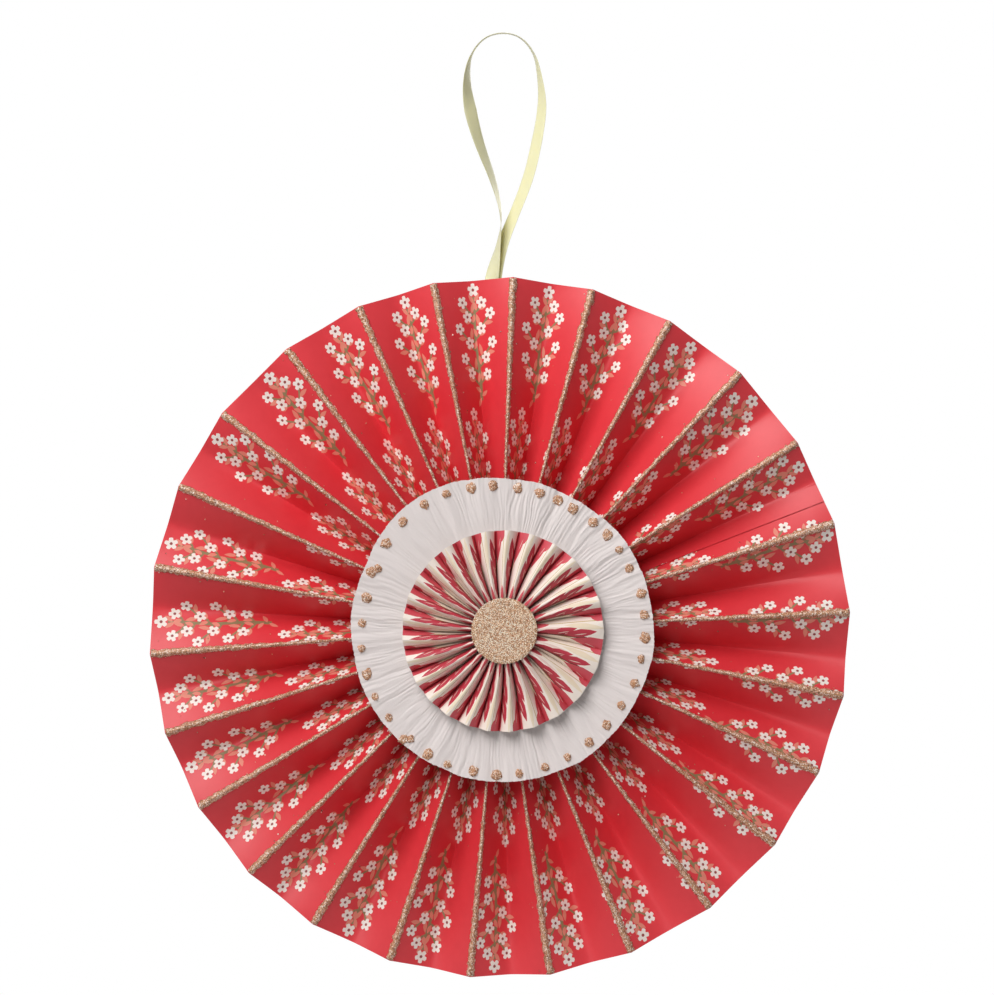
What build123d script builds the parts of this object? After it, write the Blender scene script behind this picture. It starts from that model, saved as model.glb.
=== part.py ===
from build123d import *
from bisect import bisect_left
from dataclasses import dataclass
from itertools import accumulate, pairwise
from math import cos, pi, radians, sin, sqrt, tan
import os

# A pleated paper medallion that hangs by a ribbon loop, in millimetres, +Z up.
# The origin is the middle of the back card's rear face, which lies on the wall, and the
# medallion faces -Y. FRONT is the sheet that every layer is drawn on: its X runs right,
# its Y runs up and its Z comes out of the wall, so a layer's level is its height there.
FRONT = Plane(origin=(0, 0, 0), x_dir=(1, 0, 0), z_dir=(0, -1, 0))
UP_ANGLE = 90.0

# Outer fan: two printed strips, folded alike and glued end to end into a ring
outer_radius = 150.0
outer_eye_radius = 6.0
outer_rim_rise = 6.6
outer_paper = 0.3
outer_pleats = 26
short_strip_pleats = 10
short_strip_last_pleat = 5

# Inner fan: one narrower printed strip in as many folds, which stay deep to the rim
inner_radius = 43.0
inner_eye_radius = 3.5
inner_rim_rise = 6.0
inner_paper = 0.2
inner_pleats = 26

# Where along a fold, from the eye to past the rim, its curved line is followed
fold_step_shares = (0.0, 0.36, 0.62, 0.84, 1.0)

# Glue with glitter in it, run along each front fold of the outer fan from the second step
bead_start_width = 1.9
bead_rim_width = 2.8
bead_height = 0.8
bead_seat_share = 0.3
bead_flank_gap = 0.3
bead_top_share = 0.25

# Crepe ruffle: a gathered disc between the two fans, with a dot of glitter on each gather
ruffle_radius = 65.0
ruffle_eye_radius = 12.0
ruffle_eye_rise = 0.8
ruffle_rim_rise = 2.0
crepe_thickness = 0.25
gathers = 37
gather_crest_share = 0.4
gather_foot_share = 0.25
dot_inset = 4.2
dot_radius = 1.9
dot_height = 0.9
dot_taper = 28.0

# Cards: the glittered disc that covers the eye, and the one that holds the folds behind
centre_disc_radius = 14.0
centre_disc_thickness = 0.8
centre_disc_round = 0.2
back_card_radius = 56.0
back_card_thickness = 1.0

# Ribbon: both ends lie between the back card and the folds, and the strands cross above
ribbon_width = 6.4
ribbon_thickness = 0.25
ribbon_sections = 72
ribbon_bend_share = 0.45

# Space that a film of glue takes, and how far a cut runs past what it cuts
glue_film = 0.05
cut_overrun = 1.0

# The ribbon's route from its left end over the loop to its right end: across, out from
# the wall, up, and the angle in degrees that its inner face is turned towards the front
ribbon_foot_level = back_card_thickness + glue_film + ribbon_thickness / 2
ribbon_route_points = [
    (-8.0, ribbon_foot_level, 50.7, -90),
    (-8.0, 1.3, 73.8, -90),
    (-6.7, 2.1, 99.5, -90),
    (-5.0, 3.0, 125.2, -88),
    (-3.9, 4.1, 147.5, -78),
    (-0.5, 4.4, 163.4, -20),
    (1.2, 4.3, 176.2, 5),
    (-2.4, 4.0, 191.2, 25),
    (-8.8, 3.8, 207.5, 42),
    (-12.9, 3.7, 222.5, 58),
    (-14.4, 3.6, 235.4, 30),
    (-12.3, 3.6, 247.0, 4),
    (-4.5, 3.6, 254.9, 0),
    (7.5, 3.6, 254.9, 0),
    (15.0, 3.6, 247.0, 6),
    (17.5, 3.6, 235.4, 21),
    (18.6, 3.6, 223.4, 38),
    (16.0, 3.5, 207.9, 46),
    (12.4, 3.4, 192.5, 47),
    (6.8, 3.3, 178.4, 44),
    (0.8, 3.2, 163.8, 52),
    (-2.8, 3.0, 147.5, 72),
    (-3.3, 2.4, 125.2, 88),
    (-1.8, 1.65, 99.5, 90),
    (-0.9, 1.3, 73.8, 90),
    (-0.8, ribbon_foot_level, 50.7, 90),
]


def between(first, last, share):
    """A value that share of the way from first to last."""
    return first + (last - first) * share


def wedge_run(reach, pleats):
    """Half the width of one pleat's wedge, that far from the axis."""
    return reach * tan(pi / pleats)


@dataclass
class Fan:
    """A strip folded to one pitch and gathered to an eye. Paper doesn't stretch, so each
    panel is as wide at the eye as at the rim, and rises by what it doesn't spend sideways:
    the folds are deep at the eye and shallow at the rim."""

    rim: float
    eye: float
    rim_rise: float
    paper: float
    pleats: int

    def panel(self):
        """The strip's pitch, the paper between two folds."""
        return sqrt(wedge_run(self.rim, self.pleats) ** 2 + self.rim_rise**2)

    def rise(self, reach):
        """How far a panel climbs from its valley to its front fold."""
        return sqrt(self.panel() ** 2 - wedge_run(reach, self.pleats) ** 2)

    def crest(self, reach):
        """Height of a front fold over the fan's middle plane. Its nose is a paper broad."""
        spare = self.panel() - self.rise(reach)
        return self.rise(reach) / 2 + self.paper / 2 * spare / wedge_run(reach, self.pleats)

    def steps(self):
        """How far from the axis each section across a pleat is taken."""
        return [between(self.eye, self.rim + cut_overrun, share) for share in fold_step_shares]

    def outline(self, reach):
        """Section across one pleat, from valley to valley, with a blunt nose on each fold."""
        run = wedge_run(reach, self.pleats)
        nose = self.paper / 2
        crest = self.crest(reach)
        crotch = (self.rise(reach) - self.paper * self.panel() / run) / 2
        return [
            (-run, -crotch),
            (-nose, crest),
            (nose, crest),
            (run, -crotch),
            (run, -crest),
            (run - nose, -crest),
            (0, crotch),
            (nose - run, -crest),
            (-run, -crest),
        ]


outer = Fan(outer_radius, outer_eye_radius, outer_rim_rise, outer_paper, outer_pleats)
inner = Fan(inner_radius, inner_eye_radius, inner_rim_rise, inner_paper, inner_pleats)
bead_steps = outer.steps()[1:]


def wedge(outline, steps, rim, pleats):
    """One pleat's wedge about +X, from sections across it. Its far end is cut straight
    from fold to fold, as the straight edge of a folded strip lies."""
    with BuildPart() as piece:
        for reach in steps:
            with BuildSketch(Plane(origin=(reach, 0, 0), x_dir=(0, 1, 0), z_dir=(1, 0, 0))):
                with BuildLine():
                    Polyline(*outline(reach), close=True)
                make_face()
        loft(ruled=True)
        with BuildSketch():
            RegularPolygon(radius=rim, side_count=pleats)
        extrude(amount=rim, both=True, mode=Mode.INTERSECT)
    return piece.part


def ring(first_angle, count, pleats):
    """Places for some of a ring's pleats, a pleat apart, counted round against the clock."""
    return PolarLocations(0, count, start_angle=first_angle, angular_range=count * 360 / pleats)


def bead_outline(reach):
    """Section of the glitter glue that rides on a front fold, with a lip down each flank."""
    share = (reach - bead_steps[0]) / (outer_radius - bead_steps[0])
    width = between(bead_start_width, bead_rim_width, share)
    slope = outer.rise(reach) / wedge_run(reach, outer_pleats)
    crest = outer.crest(reach) + glue_film
    top = crest + bead_height
    nose = outer_paper / 2
    seat = width * bead_seat_share
    seat_level = crest - (seat - nose) * slope + bead_flank_gap
    crown = width * bead_top_share
    return [
        (-seat, seat_level),
        (-nose, crest),
        (nose, crest),
        (seat, seat_level),
        (width / 2, (seat_level + top) / 2),
        (crown, top),
        (-crown, top),
        (-width / 2, (seat_level + top) / 2),
    ]


def gather_rise(reach):
    """Height of the ruffle's gathers, which grow from its eye to its edge."""
    share = (reach - ruffle_eye_radius) / (ruffle_radius - ruffle_eye_radius)
    return between(ruffle_eye_rise, ruffle_rim_rise, share)


def gather_outline(reach):
    """Section across one gather: a soft wave with a flat crest and flat feet."""
    run = wedge_run(reach, gathers)
    land = run * gather_crest_share
    foot = run * (1 - gather_foot_share)
    rise = gather_rise(reach)
    top = rise + crepe_thickness
    return [
        (-run, crepe_thickness),
        (-foot, crepe_thickness),
        (-land, top),
        (land, top),
        (foot, crepe_thickness),
        (run, crepe_thickness),
        (run, 0),
        (foot, 0),
        (land, rise),
        (-land, rise),
        (-foot, 0),
        (-run, 0),
    ]


def ribbon_bend_radius(before, corner, after):
    """The largest arc that a corner of the route leaves room for."""
    arriving = corner - before
    leaving = after - corner
    half_turn = radians(arriving.get_angle(leaving)) / 2
    return ribbon_bend_share * min(arriving.length, leaving.length) / tan(half_turn)


def ribbon_turn(share):
    """The ribbon's turn at that share of its route, between those of the corners beside it."""
    travelled = share * corner_distances[-1]
    after = max(1, bisect_left(corner_distances, travelled))
    first, last = corner_distances[after - 1 : after + 1]
    turns = [turn for right, out, up, turn in ribbon_route_points]
    return between(turns[after - 1], turns[after], (travelled - first) / (last - first))


def ribbon_plane(share):
    """The plane across the ribbon at that share of its route, its X along the width."""
    tangent = ribbon_path.tangent_at(share)
    wall_way = Vector(0, 1, 0)
    inward = wall_way.cross(tangent).normalized()
    turn = radians(ribbon_turn(share))
    width_way = wall_way * cos(turn) + inward * sin(turn)
    return Plane(origin=ribbon_path.position_at(share), x_dir=width_way, z_dir=tangent)


# Levels out from the wall, where each layer stands on the highest point of the one below
outer_level = back_card_thickness + outer.crest(outer_eye_radius)
bead_top_level = outer_level + outer.crest(bead_steps[0]) + glue_film + bead_height
outer_crest_level = outer_level + outer.crest(ruffle_eye_radius)
ruffle_level = max(bead_top_level, outer_crest_level) + glue_film
ruffle_steps = (ruffle_eye_radius, ruffle_radius + cut_overrun)
seat_reaches = [reach for reach in inner.steps() if reach > ruffle_eye_radius]
inner_rests = [
    gather_rise(reach) + inner.crest(reach) for reach in (ruffle_eye_radius, *seat_reaches)
]
inner_level = ruffle_level + crepe_thickness + max(inner_rests) + glue_film
centre_disc_level = inner_level + inner.crest(inner_eye_radius) + glue_film
dot_ring_radius = ruffle_radius - dot_inset
dot_rise = gather_rise(dot_ring_radius + dot_radius)
dot_level = ruffle_level + dot_rise + crepe_thickness + glue_film

os.makedirs("parts", exist_ok=True)

# The outer fan's two strips, both patterned round from one pleat
outer_pleat = wedge(outer.outline, outer.steps(), outer_radius, outer_pleats)
short_strip_angle = UP_ANGLE - short_strip_last_pleat * 360 / outer_pleats
long_strip_angle = short_strip_angle + short_strip_pleats * 360 / outer_pleats

with BuildPart(FRONT.offset(outer_level)) as outer_fan_short_strip:
    with ring(short_strip_angle, short_strip_pleats, outer_pleats):
        add(outer_pleat)
outer_fan_short_strip.part.label = "outer_fan_short_strip"
export_step(outer_fan_short_strip.part, "parts/outer_fan_short_strip.step")

with BuildPart(FRONT.offset(outer_level)) as outer_fan_long_strip:
    with ring(long_strip_angle, outer_pleats - short_strip_pleats, outer_pleats):
        add(outer_pleat)
outer_fan_long_strip.part.label = "outer_fan_long_strip"
export_step(outer_fan_long_strip.part, "parts/outer_fan_long_strip.step")

# A bead of glitter glue on each front fold, from under the ruffle to the rim
bead = wedge(bead_outline, bead_steps, outer_radius, outer_pleats)
with BuildPart(FRONT.offset(outer_level)) as fold_glitter:
    with ring(UP_ANGLE, outer_pleats, outer_pleats):
        add(bead)
fold_glitter.part.label = "fold_glitter"
export_step(fold_glitter.part, "parts/fold_glitter.step")

# The crepe ruffle, patterned round from one gather
gather = wedge(gather_outline, ruffle_steps, ruffle_radius, gathers)
with BuildPart(FRONT.offset(ruffle_level)) as crepe_ruffle:
    with ring(UP_ANGLE, gathers, gathers):
        add(gather)
crepe_ruffle.part.label = "crepe_ruffle"
export_step(crepe_ruffle.part, "parts/crepe_ruffle.step")

# Dots of glitter glue on the crests of the gathers
with BuildPart() as crepe_glitter_dots:
    with BuildSketch(FRONT.offset(dot_level)):
        with PolarLocations(dot_ring_radius, gathers, start_angle=UP_ANGLE):
            Circle(dot_radius)
    extrude(amount=dot_height, taper=dot_taper)
crepe_glitter_dots.part.label = "crepe_glitter_dots"
export_step(crepe_glitter_dots.part, "parts/crepe_glitter_dots.step")

# The inner fan, patterned round from one pleat
inner_pleat = wedge(inner.outline, inner.steps(), inner_radius, inner_pleats)
with BuildPart(FRONT.offset(inner_level)) as inner_fan:
    with ring(UP_ANGLE, inner_pleats, inner_pleats):
        add(inner_pleat)
inner_fan.part.label = "inner_fan"
export_step(inner_fan.part, "parts/inner_fan.step")

# The glittered disc over the inner fan's eye
with BuildPart() as centre_disc:
    with BuildSketch(FRONT.offset(centre_disc_level)):
        Circle(centre_disc_radius)
    extrude(amount=centre_disc_thickness)
    fillet(centre_disc.edges().group_by(Axis.Y)[0], centre_disc_round)
centre_disc.part.label = "centre_disc"
export_step(centre_disc.part, "parts/centre_disc.step")

# The card at the back, which the rear folds are glued to
with BuildPart() as back_disc:
    with BuildSketch(FRONT):
        Circle(back_card_radius)
    extrude(amount=back_card_thickness)
back_disc.part.label = "back_disc"
export_step(back_disc.part, "parts/back_disc.step")

# The ribbon, as sections along its route
ribbon_corners = [Vector(right, -out, up) for right, out, up, turn in ribbon_route_points]
ribbon_runs = [(after - before).length for before, after in pairwise(ribbon_corners)]
corner_distances = list(accumulate(ribbon_runs, initial=0))
ribbon_bends = [
    ribbon_bend_radius(*ribbon_corners[i - 1 : i + 2]) for i in range(1, len(ribbon_corners) - 1)
]
with BuildLine() as ribbon_route:
    FilletPolyline(*ribbon_corners, radius=ribbon_bends)
ribbon_path = ribbon_route.wire()
print("ribbon bend radii", [round(bend, 1) for bend in ribbon_bends])
print("ribbon length", round(ribbon_path.length, 1))

with BuildPart() as ribbon_loop:
    for step in range(ribbon_sections + 1):
        with BuildSketch(ribbon_plane(step / ribbon_sections)):
            Rectangle(ribbon_width, ribbon_thickness)
    loft(ruled=True)
ribbon_loop.part.label = "ribbon_loop"
export_step(ribbon_loop.part, "parts/ribbon_loop.step")
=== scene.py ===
from bisect import bisect_left
from itertools import accumulate, pairwise
from math import atan2, cos, degrees, hypot, pi, radians, sin, tan
from random import Random

import bmesh
import bpy
import numpy as np
from mathutils import Matrix, Vector, noise
from mathutils.bvhtree import BVHTree
from mathutils.geometry import delaunay_2d_cdt


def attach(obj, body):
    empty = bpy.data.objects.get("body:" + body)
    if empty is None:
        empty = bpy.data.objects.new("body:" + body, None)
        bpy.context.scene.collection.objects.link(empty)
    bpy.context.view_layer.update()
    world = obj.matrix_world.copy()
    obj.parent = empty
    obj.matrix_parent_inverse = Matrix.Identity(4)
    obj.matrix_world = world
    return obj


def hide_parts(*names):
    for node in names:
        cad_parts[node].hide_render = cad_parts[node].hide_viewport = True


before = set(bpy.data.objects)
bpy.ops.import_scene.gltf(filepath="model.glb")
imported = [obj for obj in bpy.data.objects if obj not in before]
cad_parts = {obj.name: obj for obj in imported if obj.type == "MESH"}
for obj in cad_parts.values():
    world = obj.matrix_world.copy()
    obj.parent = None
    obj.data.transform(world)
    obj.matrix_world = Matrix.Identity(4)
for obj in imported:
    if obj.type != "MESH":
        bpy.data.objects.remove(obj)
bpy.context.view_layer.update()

# A pleated paper medallion on a ribbon loop. Millimetres turn to metres through MM. Angles
# on the medallion are clock angles in degrees: 0 is straight up and they grow clockwise, as
# seen from the front. A level is a height out from the wall, which is -Y.
MM = 0.001
TO_FRONT = Vector((0, -1, 0))
WELD = 0.002 * MM

# The ruffle, the small fan and the disc were glued on by hand, a little to the right of the
# large fan's middle and below it: how far, in mm
GLUED_OFF = {"crepe_ruffle": (1.3, -1.15), "inner_fan": (1.5, -1.2), "centre_disc": (2.0, -1.1)}

# The photograph's frame: where its middle falls on the medallion, and how much it takes in
VIEW_RIGHT = -1.1 * MM
VIEW_UP = 55.6 * MM
VIEW_WIDTH = 426 * MM
VIEW_DISTANCE = 2500 * MM
SENSOR = 36.0

# Outer fan, as the photograph shows it: each front fold's angle with the valley that follows
OUTER_RADIUS = 150.0
OUTER_EYE = 6.0
OUTER_RIM_RISE = 6.6
OUTER_PAPER = 0.3
OUTER_LEVEL = 10.68
PLEATS = 26
LONG_FOLDS = (
    65.2, 72.7, 80.6, 87.5, 95.0, 101.3, 107.9, 114.4, 122.0, 128.3, 135.8, 143.1, 150.6,
    157.9, 164.7, 171.7, 178.2, 184.8, 191.3, 198.3, 205.0, 212.2, 219.2, 225.6, 232.5, 239.2,
    246.3, 252.5, 259.3, 265.7, 273.2, 280.0, 287.2, 293.8, 300.6,
)
SHORT_FOLDS = (
    293.8, 300.6, 307.7, 314.7, 322.6, 329.4, 336.3, 343.0, 349.1, 355.3, 362.2, 368.9, 375.4,
    382.2, 389.1, 396.4, 403.4, 411.1, 418.2, 425.2, 432.7,
)
# Its strips are glued end over end: at what share of its last panel each one ends and of its
# first panel the long one starts, and how far one lies in front of the other, in mm
SEAM_SHARE = 0.47
TAB_SHARE = 0.4
START_SHARE = 0.03
LAP = 0.36

# Inner fan: the valleys' angles, wide apart on the right where its folds lie open
INNER_RADIUS = 43.0
INNER_EYE = 3.5
INNER_RIM_RISE = 6.0
INNER_PAPER = 0.2
INNER_LEVEL = 25.71
INNER_VALLEYS = (
    9.5, 24.0, 38.0, 52.5, 66.0, 80.0, 101.0, 121.0, 139.5, 155.0, 170.0, 182.5, 195.0, 207.0,
    220.5, 233.0, 246.0, 259.0, 271.0, 284.0, 296.0, 307.0, 319.5, 331.5, 343.0, 356.0, 369.5,
)

# The ribbon's route, as in the part's source: right, out from the wall and up in metres, and
# the angle in degrees that its inner face is turned towards the front
RIBBON_WIDTH = 6.4 * MM
RIBBON_THICKNESS = 0.25 * MM
RIBBON_ROUTE = (
    (-0.0080, 0.001175, 0.0507, -90),
    (-0.0080, 0.0013, 0.0738, -90),
    (-0.0067, 0.0021, 0.0995, -90),
    (-0.0050, 0.0030, 0.1252, -88),
    (-0.0039, 0.0041, 0.1475, -78),
    (-0.0005, 0.0044, 0.1634, -20),
    (0.0012, 0.0043, 0.1762, 5),
    (-0.0024, 0.0040, 0.1912, 25),
    (-0.0088, 0.0038, 0.2075, 42),
    (-0.0129, 0.0037, 0.2225, 58),
    (-0.0144, 0.0036, 0.2354, 30),
    (-0.0123, 0.0036, 0.2470, 4),
    (-0.0045, 0.0036, 0.2549, 0),
    (0.0075, 0.0036, 0.2549, 0),
    (0.0150, 0.0036, 0.2470, 6),
    (0.0175, 0.0036, 0.2354, 21),
    (0.0186, 0.0036, 0.2234, 38),
    (0.0160, 0.0035, 0.2079, 46),
    (0.0124, 0.0034, 0.1925, 47),
    (0.0068, 0.0033, 0.1784, 44),
    (0.0008, 0.0032, 0.1638, 52),
    (-0.0028, 0.0030, 0.1475, 72),
    (-0.0033, 0.0024, 0.1252, 88),
    (-0.0018, 0.00165, 0.0995, 90),
    (-0.0009, 0.0013, 0.0738, 90),
    (-0.0008, 0.001175, 0.0507, 90),
)
# Half its section, in half widths and half thicknesses: its faces crown between selvedges
RIBBON_SECTION = [(-1, 0), (-0.94, 0.7), (-0.5, 0.95), (0, 1.1), (0.5, 0.95), (0.94, 0.7), (1, 0)]


def around(angle, reach, level):
    """A point in metres from a clock angle, a reach from the axis and a level, in mm."""
    turn = radians(angle)
    return Vector((reach * sin(turn), -level, reach * cos(turn))) * MM


def between(first, last, share):
    return first + (last - first) * share


def add_node(tree, kind, inputs=None, **settings):
    """Adds a node with its settings and gives each input a link or a value. Returns its
    first output."""
    node = tree.nodes.new(kind)
    for name, value in settings.items():
        setattr(node, name, value)
    for name, value in (inputs or {}).items():
        if isinstance(value, bpy.types.NodeSocket):
            tree.links.new(value, node.inputs[name])
        else:
            node.inputs[name].default_value = value
    return next((socket for socket in node.outputs if socket.enabled), None)


def linear(hex_colour):
    """An sRGB hex colour as Blender's linear RGBA."""
    shares = [int(hex_colour[i : i + 2], 16) / 255 for i in (1, 3, 5)]
    return [s / 12.92 if s <= 0.04045 else ((s + 0.055) / 1.055) ** 2.4 for s in shares] + [1]


def new_piece(name, points, faces, materials=(), inks=None):
    """A mesh object at the origin, from points in metres."""
    mesh = bpy.data.meshes.new(name)
    mesh.from_pydata(points, [], faces)
    for material in materials:
        mesh.materials.append(material)
    if inks:
        mesh.polygons.foreach_set("material_index", inks)
    mesh.polygons.foreach_set("use_smooth", [True] * len(mesh.polygons))
    piece = bpy.data.objects.new(name, mesh)
    bpy.context.scene.collection.objects.link(piece)
    return piece


def made_plain(piece):
    """Turns what a piece's modifiers make into its own plain mesh."""
    depsgraph = bpy.context.evaluated_depsgraph_get()
    shown = piece.evaluated_get(depsgraph)
    mesh = bpy.data.meshes.new_from_object(shown, preserve_all_data_layers=True, depsgraph=depsgraph)
    piece.modifiers.clear()
    piece.data = mesh
    return piece


def run_tree(piece, tree, values):
    """Runs a node tree on a piece with these values for its named inputs."""
    modifier = piece.modifiers.new(tree.name, "NODES")
    modifier.node_group = tree
    for item in tree.interface.items_tree:
        if item.in_out == "INPUT" and item.name in values:
            modifier[item.identifier] = values[item.name]
    return made_plain(piece)


def new_tree(name, numbers, others):
    """An empty Geometry Nodes tree with named inputs: plain numbers, and others with their
    kinds. Returns it with the sockets that its inputs come from and its result goes to."""
    tree = bpy.data.node_groups.new(name, "GeometryNodeTree")
    kinds = {"Geometry": "Geometry"} | {label: "Float" for label in numbers} | others
    for label, kind in kinds.items():
        tree.interface.new_socket(label, in_out="INPUT", socket_type="NodeSocket" + kind)
    tree.interface.new_socket("Geometry", in_out="OUTPUT", socket_type="NodeSocketGeometry")
    return tree, tree.nodes.new("NodeGroupInput").outputs, tree.nodes.new("NodeGroupOutput").inputs


def finished(piece, node):
    """Moves a finished piece to where it was glued, and hands it to the frame."""
    right, up = GLUED_OFF.get(node, (0, 0))
    piece.data.transform(Matrix.Translation(Vector((right, 0, up)) * MM))
    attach(piece, "root")
    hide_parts(node)


# Materials. Each starts from the real sheet, glue or thread, and how its surface was made.


def new_material(name, colour, roughness, **settings):
    """A material with its colour, roughness and other sockets set. Returns the material,
    its tree and its shader node."""
    material = bpy.data.materials.new(name)
    material.use_nodes = True
    tree = material.node_tree
    shader = tree.nodes["Principled BSDF"]
    shader.inputs["Base Color"].default_value = linear(colour)
    shader.inputs["Roughness"].default_value = roughness
    for key, value in settings.items():
        shader.inputs[key.replace("_", " ")].default_value = value
    return material, tree, shader


def add_fibres(tree, shader, place, tooth, detail, height, strength):
    """The felt of fibres that paper is, drawn as a fine tooth. tooth and height are in mm."""
    fibres = add_node(
        tree, "ShaderNodeTexNoise", {"Vector": place, "Scale": 1 / (tooth * MM), "Detail": detail}
    )
    bump = add_node(
        tree, "ShaderNodeBump", {"Height": fibres, "Distance": height * MM, "Strength": strength}
    )
    tree.links.new(bump, shader.inputs["Normal"])


def paper(name, colour, deep_colour, roughness, tooth=0.35, mottle=4.0, **settings):
    """Paper or card: a felt of fibres under a colour that is a little uneven over a few
    millimetres. Real fibres are far finer than the tooth and mottle, which are drawn this
    coarse, in mm, so that they show."""
    material, tree, shader = new_material(name, colour, roughness, **settings)
    place = add_node(tree, "ShaderNodeTexCoord").node.outputs["Object"]
    cloud = add_node(
        tree, "ShaderNodeTexNoise", {"Vector": place, "Scale": 1 / (mottle * MM), "Detail": 3}
    )
    tint = add_node(
        tree, "ShaderNodeMix", {0: cloud, 6: linear(colour), 7: linear(deep_colour)}, data_type="RGBA"
    )
    tree.links.new(tint, shader.inputs["Base Color"])
    add_fibres(tree, shader, place, tooth, 4, 0.05, 0.5)
    return material


def glitter(name, dark, middle, light):
    """Cut metallised film, a crumb of which lies at every tilt, so that one gives a spark and
    the next is dark. Each crumb also carries a random shade in an attribute, from dark through the film's
    colour to near white: painted glint and painted dark, which add to what its tilt does."""
    material, tree, shader = new_material(name, middle, 0.34, Metallic=0.05)
    # Each crumb's random shade: painted glint at the pale end and painted dark at the dark end
    glint_shade = add_node(tree, "ShaderNodeAttribute", attribute_name="glint_shade")
    ramp = add_node(tree, "ShaderNodeValToRGB", {"Fac": glint_shade.node.outputs["Fac"]}).node
    first, last = ramp.color_ramp.elements
    first.position, first.color = 0.14, linear(dark)
    last.position, last.color = 0.74, linear(light)
    ramp.color_ramp.elements.new(0.38).color = linear(middle)
    tree.links.new(ramp.outputs["Color"], shader.inputs["Base Color"])
    return material


RED_PAPER = paper("litho_printed_red_paper", "#E4363F", "#DC2F39", 0.46, Specular_IOR_Level=0.6)
PETAL_INK = paper("white_blossom_ink", "#FFF7F0", "#F6E8DE", 0.52)
EYE_INK = paper("brown_red_eye_ink", "#9A4440", "#8A3633", 0.52)
STEM_INK = paper("olive_brown_stem_ink", "#9A8A60", "#857550", 0.52)
LEAF_INK = paper("salmon_leaf_ink", "#EC937F", "#E28571", 0.52)
WHITE_PAPER = paper("uncoated_white_reverse", "#EDEAE4", "#E6E2DA", 0.85)
CREAM_PAPER = paper("litho_printed_cream_paper", "#FFF4E9", "#F8E8DB", 0.5)
CRIMSON_INK = paper("crimson_leaf_ink", "#C63A4A", "#B42D3E", 0.52)
ROSE_INK = paper("rose_leaf_ink", "#D65560", "#CC4753", 0.52)
BLUSH_INK = paper("blush_shade_ink", "#F0D5CA", "#EACABD", 0.52)
GOLD_INK = paper("old_gold_line_ink", "#D2B777", "#C4A55F", 0.45)
STRAW_INK = paper("straw_leaf_ink", "#F7E7CE", "#F0DBBD", 0.52)
# Painted shade: a dark maroon ink laid along the small fan's valleys, where the deep slots lie in shade
PAINTED_VALLEY_SHADE_INK = paper("painted_valley_shade_ink", "#7C2F28", "#6C2620", 0.52)
WHITE_CARD = paper("white_backing_card", "#F0EEE9", "#E9E6DF", 0.8, tooth=0.6)
# Crumb colours from dark through the film's own colour to near white: the ends are painted dark and
# painted glint
GLITTER_GRAIN = glitter("rose_gold_film_glitter", "#70402A", "#F2BA98", "#FFF2E4")
PALE_GRAIN = glitter("pale_gold_film_glitter", "#8F5C38", "#FCD2A8", "#FFFAE8")
GLUE = paper("dried_glitter_glue", "#DBA67C", "#A06A45", 0.4, tooth=0.5, mottle=0.8)


def crepe_paper():
    """Crepe paper: tissue crimped while wet, with a dry, chalky face and a little bloom at
    a glancing look. The crimps run out from the middle and are in the mesh."""
    material, tree, shader = new_material(
        "crimped_white_crepe_paper", "#F1E7E4", 0.9, Sheen_Weight=0.15
    )
    place = add_node(tree, "ShaderNodeTexCoord").node.outputs["Object"]
    add_fibres(tree, shader, place, 0.5, 5, 0.08, 0.6)
    return material


PICK_PITCH = 0.4 * MM


def satin_ribbon():
    """Polyester satin: floats of bright filament along the ribbon give it a soft lustre,
    and fine picks cross it. Real picks lie 0.25 mm apart and are drawn coarser, to show."""
    material, tree, shader = new_material(
        "woven_polyester_satin", "#E6E1B8", 0.42, Anisotropic=0.5, Sheen_Weight=0.1,
        Subsurface_Weight=0.5, Subsurface_Radius=(1, 0.95, 0.6), Subsurface_Scale=0.6 * MM,
    )
    place = add_node(tree, "ShaderNodeUVMap", uv_map="along")
    picks = add_node(
        tree,
        "ShaderNodeTexWave",
        {"Vector": place, "Scale": 2 * pi / (20 * PICK_PITCH), "Distortion": 0.4},
        wave_type="BANDS",
        bands_direction="Y",
    )
    heights = picks.node.outputs["Fac"]
    bump = add_node(
        tree, "ShaderNodeBump", {"Height": heights, "Distance": 0.03 * MM, "Strength": 0.12}
    )
    tree.links.new(bump, shader.inputs["Normal"])
    return material


CREPE = crepe_paper()
SATIN = satin_ribbon()


# The camera and the ribbon


def make_camera():
    """A long lens square to the medallion, taking in what the photograph does."""
    data = bpy.data.cameras.new("camera")
    data.sensor_width = SENSOR
    data.lens = SENSOR * (VIEW_DISTANCE - OUTER_LEVEL * MM) / VIEW_WIDTH
    camera = bpy.data.objects.new("camera", data)
    camera.location = (VIEW_RIGHT, -VIEW_DISTANCE, VIEW_UP)
    camera.rotation_euler = (radians(90), 0, 0)
    bpy.context.scene.collection.objects.link(camera)
    bpy.context.scene.camera = camera


def ribbon_line():
    """Points along the ribbon's smooth line, read from the spline of its route."""
    data = bpy.data.curves.new("ribbon_route", "CURVE")
    data.dimensions = "3D"
    data.resolution_u = 10
    spline = data.splines.new("NURBS")
    spline.points.add(len(RIBBON_ROUTE) - 1)
    for point, (right, out, up, turn) in zip(spline.points, RIBBON_ROUTE):
        point.co = (right, -out, up, 1)
    spline.order_u = 3
    spline.use_endpoint_u = True
    holder = bpy.data.objects.new("ribbon_route", data)
    mesh = bpy.data.meshes.new_from_object(holder)
    line = [vertex.co.copy() for vertex in mesh.vertices]
    bpy.data.objects.remove(holder)
    return line


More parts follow.
